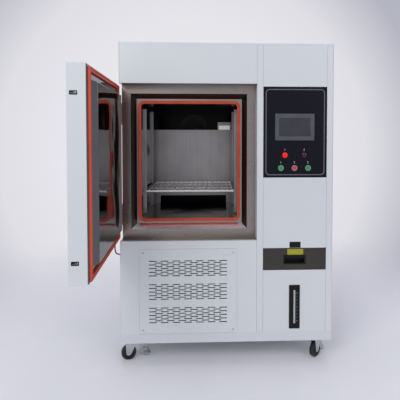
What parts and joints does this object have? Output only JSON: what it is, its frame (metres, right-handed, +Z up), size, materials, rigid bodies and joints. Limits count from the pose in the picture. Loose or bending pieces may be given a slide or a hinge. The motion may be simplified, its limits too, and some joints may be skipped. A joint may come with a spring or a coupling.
{
  "type": "environmental test chamber",
  "caption": "Free-standing temperature and humidity test chamber on casters, its insulated door open on a stainless chamber with a sliding wire shelf, beside a control bay.",
  "frame": {"origin": "middle of the bounding box at the floor, in the rest pose with the door open", "axes": "+X to the cabinet's right seen from the front, +Y from front to back, +Z up"},
  "size_m": [1.1746, 1.6522, 1.635],
  "materials": {
    "white_paint": "satin powder coat",
    "base_paint": "satin powder coat",
    "stainless": "brushed",
    "polished_stainless": "polished",
    "dark_stainless": "dark brushed",
    "black_panel": "satin black",
    "black_plastic": "moulded",
    "grey_plastic": "moulded",
    "lamp_lens": "translucent",
    "green_plastic": "gloss",
    "red_plastic": "gloss",
    "seal_rubber": "matt silicone",
    "black_rubber": "matt",
    "foam": "rigid foam",
    "aluminium": "mill",
    "cast_black": "gloss black",
    "zinc_steel": "zinc plated",
    "caster_tread": "moulded nylon",
    "lamp_glass": "satin",
    "tank_plastic": "moulded"
  },
  "bodies": {
    "cabinet": {"chassis": "base_paint", "left_side_panel": "white_paint", "right_side_panel": "white_paint", "roof_panel": "white_paint", "rear_panel": "white_paint", "header_panels": "white_paint", "mullion_post": "white_paint", "lower_front_panel": "white_paint", "louvre_panel": "white_paint", "service_panels": "white_paint", "control_panel": "black_panel", "touchscreen": "grey_plastic", "pilot_lamps": "lamp_lens", "button_rings": "aluminium", "level_gauge": "black_plastic", "door_frame": "stainless", "frame_gasket": "seal_rubber", "chamber_liner": "polished_stainless", "insulation": "foam", "duct_panel": "polished_stainless", "shelf_posts": "polished_stainless", "chamber_lamp": "lamp_glass", "cable_port": "polished_stainless", "evaporator": "aluminium", "blower_motor": "cast_black", "compressor": "cast_black", "condenser": "aluminium", "cabinet_hinges": "zinc_steel", "cabinet_gland": "black_plastic"},
    "door": {"door_shell": "white_paint", "door_insulation": "foam", "door_plug": "polished_stainless", "door_gasket": "seal_rubber", "door_hinges": "zinc_steel", "door_gland": "black_plastic", "door_cable": "black_rubber"},
    "handle": {"door_handle": "zinc_steel"},
    "latch_top": {"latch_bolt_top": "zinc_steel"},
    "latch_bottom": {"latch_bolt_bottom": "zinc_steel"},
    "drawer": {"drawer_front": "dark_stainless", "drawer_pull": "black_plastic", "water_tank": "tank_plastic"},
    "shelf": {"shelf_rack": "polished_stainless"},
    "run_button": {"button_run": "green_plastic"},
    "stop_button": {"button_stop": "red_plastic"},
    "light_button": {"button_light": "green_plastic"},
    "blower": {"blower_wheel": "stainless"},
    "fan": {"condenser_fan": "aluminium"},
    "swivel_front_left": {"caster_fork_front_left": "zinc_steel"},
    "wheel_front_left": {"caster_wheel_front_left": "caster_tread"},
    "foot_front_left": {"levelling_foot_front_left": "zinc_steel"},
    "swivel_front_right": {"caster_fork_front_right": "zinc_steel"},
    "wheel_front_right": {"caster_wheel_front_right": "caster_tread"},
    "foot_front_right": {"levelling_foot_front_right": "zinc_steel"},
    "swivel_rear_left": {"caster_fork_rear_left": "zinc_steel"},
    "wheel_rear_left": {"caster_wheel_rear_left": "caster_tread"},
    "foot_rear_left": {"levelling_foot_rear_left": "zinc_steel"},
    "swivel_rear_right": {"caster_fork_rear_right": "zinc_steel"},
    "wheel_rear_right": {"caster_wheel_rear_right": "caster_tread"},
    "foot_rear_right": {"levelling_foot_rear_right": "zinc_steel"}
  },
  "joints": [
    {"name": "door_hinge", "type": "hinge", "parent": "cabinet", "child": "door", "pos_m": [-0.51473, -0.11394, 1.034], "axis": [0, 0, -1], "range_deg": [-87, 33], "deforming": ["door_cable"]},
    {"name": "handle_turn", "type": "hinge", "parent": "door", "child": "handle", "pos_m": [-0.5451, -0.68081, 1.026], "axis": [-0.9986, -0.0523, 0], "range_deg": [0, 90]},
    {"name": "latch_top_slide", "type": "slide", "parent": "door", "child": "latch_top", "axis": [0.0523, -0.9986, 0], "range_m": [0, 0.012]},
    {"name": "latch_bottom_slide", "type": "slide", "parent": "door", "child": "latch_bottom", "axis": [0.0523, -0.9986, 0], "range_m": [0, 0.012]},
    {"name": "drawer_slide", "type": "slide", "parent": "cabinet", "child": "drawer", "axis": [0, -1, 0], "range_m": [0, 0.25]},
    {"name": "shelf_slide", "type": "slide", "parent": "cabinet", "child": "shelf", "axis": [0, -1, 0], "range_m": [0, 0.3]},
    {"name": "run_button_press", "type": "slide", "parent": "cabinet", "child": "run_button", "axis": [0, 1, 0], "range_m": [0, 0.0035], "stiffness_N_per_m": 400, "springref_m": -0.001},
    {"name": "stop_button_press", "type": "slide", "parent": "cabinet", "child": "stop_button", "axis": [0, 1, 0], "range_m": [0, 0.0035], "stiffness_N_per_m": 400, "springref_m": -0.001},
    {"name": "light_button_press", "type": "slide", "parent": "cabinet", "child": "light_button", "axis": [0, 1, 0], "range_m": [0, 0.0035], "stiffness_N_per_m": 400, "springref_m": -0.001},
    {"name": "blower_spin", "type": "hinge", "parent": "cabinet", "child": "blower", "pos_m": [-0.14773, 0.52606, 1.212], "axis": [0, 1, 0], "continuous": true},
    {"name": "fan_spin", "type": "hinge", "parent": "cabinet", "child": "fan", "pos_m": [-0.14773, -0.04794, 0.3523], "axis": [0, 1, 0], "continuous": true},
    {"name": "swivel_front_left_turn", "type": "hinge", "parent": "cabinet", "child": "swivel_front_left", "pos_m": [-0.44773, -0.08894, 0.118], "axis": [0, 0, 1], "continuous": true},
    {"name": "wheel_front_left_roll", "type": "hinge", "parent": "swivel_front_left", "child": "wheel_front_left", "pos_m": [-0.46511, -0.0936, 0.038], "axis": [-0.2588, 0.9659, 0], "continuous": true},
    {"name": "swivel_front_right_turn", "type": "hinge", "parent": "cabinet", "child": "swivel_front_right", "pos_m": [0.52827, -0.08894, 0.118], "axis": [0, 0, 1], "continuous": true},
    {"name": "wheel_front_right_roll", "type": "hinge", "parent": "swivel_front_right", "child": "wheel_front_right", "pos_m": [0.51555, -0.10167, 0.038], "axis": [-0.7071, 0.7071, 0], "continuous": true},
    {"name": "swivel_rear_left_turn", "type": "hinge", "parent": "cabinet", "child": "swivel_rear_left", "pos_m": [-0.44273, 0.74106, 0.118], "axis": [0, 0, 1], "continuous": true},
    {"name": "wheel_rear_left_roll", "type": "hinge", "parent": "swivel_rear_left", "child": "wheel_rear_left", "pos_m": [-0.42581, 0.7349, 0.038], "axis": [-0.342, -0.9397, 0], "continuous": true},
    {"name": "swivel_rear_right_turn", "type": "hinge", "parent": "cabinet", "child": "swivel_rear_right", "pos_m": [0.53727, 0.74106, 0.118], "axis": [0, 0, 1], "continuous": true},
    {"name": "wheel_rear_right_roll", "type": "hinge", "parent": "swivel_rear_right", "child": "wheel_rear_right", "pos_m": [0.54343, 0.72414, 0.038], "axis": [-0.9397, -0.342, 0], "continuous": true},
    {"name": "foot_front_left_screw", "type": "slide", "parent": "cabinet", "child": "foot_front_left", "axis": [0, 0, 1], "range_m": [-0.005, 0.01]},
    {"name": "foot_front_right_screw", "type": "slide", "parent": "cabinet", "child": "foot_front_right", "axis": [0, 0, 1], "range_m": [-0.005, 0.01]},
    {"name": "foot_rear_left_screw", "type": "slide", "parent": "cabinet", "child": "foot_rear_left", "axis": [0, 0, 1], "range_m": [-0.005, 0.01]},
    {"name": "foot_rear_right_screw", "type": "slide", "parent": "cabinet", "child": "foot_rear_right", "axis": [0, 0, 1], "range_m": [-0.005, 0.01]}
  ],
  "couplings": [
    {"joint": "latch_top_slide", "follows": "handle_turn", "m_per_rad": 0.00763},
    {"joint": "latch_bottom_slide", "follows": "handle_turn", "m_per_rad": 0.00763}
  ]
}
